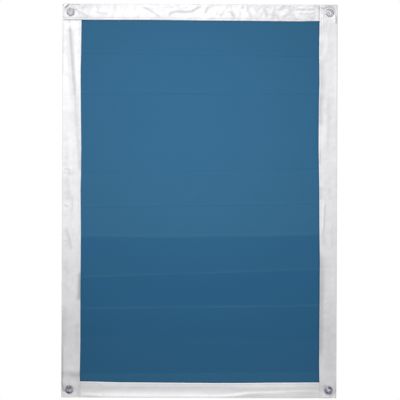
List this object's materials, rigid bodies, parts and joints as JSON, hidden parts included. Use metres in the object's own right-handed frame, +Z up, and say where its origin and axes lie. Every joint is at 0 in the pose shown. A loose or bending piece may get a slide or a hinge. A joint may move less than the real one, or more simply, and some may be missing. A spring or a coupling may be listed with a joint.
{
  "type": "skylight window blind",
  "caption": "Flat hemmed cloth panel on a silver lining, held on a sloping pane by clear suction cups buttoned through its corners, folding up concertina fashion.",
  "frame": {"origin": "on the glass plane, straight behind the centre of the blind", "axes": "+X to the right seen from the room, +Z up the blind, -Y into the room; the glass is the plane y = 0"},
  "size_m": [0.36, 0.0105, 0.515],
  "materials": {
    "blue_cloth": "matt steel-blue woven polyester blackout cloth",
    "silver_lining": "silver-white coated taffeta with a soft sheen",
    "thread": "pale grey sewing thread",
    "clear_cup": "clear flexible vinyl with a faint violet tint"
  },
  "bodies": {
    "upper_panel": {"face_cloth_upper": "blue_cloth", "lining_upper": "silver_lining", "hem_top": "silver_lining", "hem_left_upper": "silver_lining", "hem_right_upper": "silver_lining", "seam_top": "thread", "seam_left_upper": "thread", "seam_right_upper": "thread"},
    "middle_panel": {"face_cloth_middle": "blue_cloth", "lining_middle": "silver_lining", "hem_left_middle": "silver_lining", "hem_right_middle": "silver_lining", "seam_left_middle": "thread", "seam_right_middle": "thread"},
    "lower_panel": {"face_cloth_lower": "blue_cloth", "lining_lower": "silver_lining", "hem_bottom": "silver_lining", "hem_left_lower": "silver_lining", "hem_right_lower": "silver_lining", "seam_bottom": "thread", "seam_left_lower": "thread", "seam_right_lower": "thread"},
    "top_left_cup": {"cup_top_left": "clear_cup"},
    "top_right_cup": {"cup_top_right": "clear_cup"},
    "bottom_left_cup": {"cup_bottom_left": "clear_cup"},
    "bottom_right_cup": {"cup_bottom_right": "clear_cup"}
  },
  "joints": [
    {"name": "middle_fold", "type": "hinge", "parent": "upper_panel", "child": "middle_panel", "pos_m": [0, -0.0061, -0.00649], "axis": [-1, 0, 0], "range_deg": [0, 170]},
    {"name": "lower_fold", "type": "hinge", "parent": "middle_panel", "child": "lower_panel", "pos_m": [0, -0.0059, -0.13848], "axis": [1, 0, 0], "range_deg": [0, 170]},
    {"name": "top_left_cup_spin", "type": "hinge", "parent": "upper_panel", "child": "top_left_cup", "pos_m": [-0.1695, -0.006, 0.247], "axis": [0, 1, 0], "continuous": true},
    {"name": "top_right_cup_spin", "type": "hinge", "parent": "upper_panel", "child": "top_right_cup", "pos_m": [0.1695, -0.006, 0.247], "axis": [0, 1, 0], "continuous": true},
    {"name": "bottom_left_cup_spin", "type": "hinge", "parent": "lower_panel", "child": "bottom_left_cup", "pos_m": [-0.1695, -0.006, -0.247], "axis": [0, 1, 0], "continuous": true},
    {"name": "bottom_right_cup_spin", "type": "hinge", "parent": "lower_panel", "child": "bottom_right_cup", "pos_m": [0.1695, -0.006, -0.247], "axis": [0, 1, 0], "continuous": true}
  ],
  "couplings": [
    {"joint": "lower_fold", "follows": "middle_fold", "ratio": 1}
  ]
}
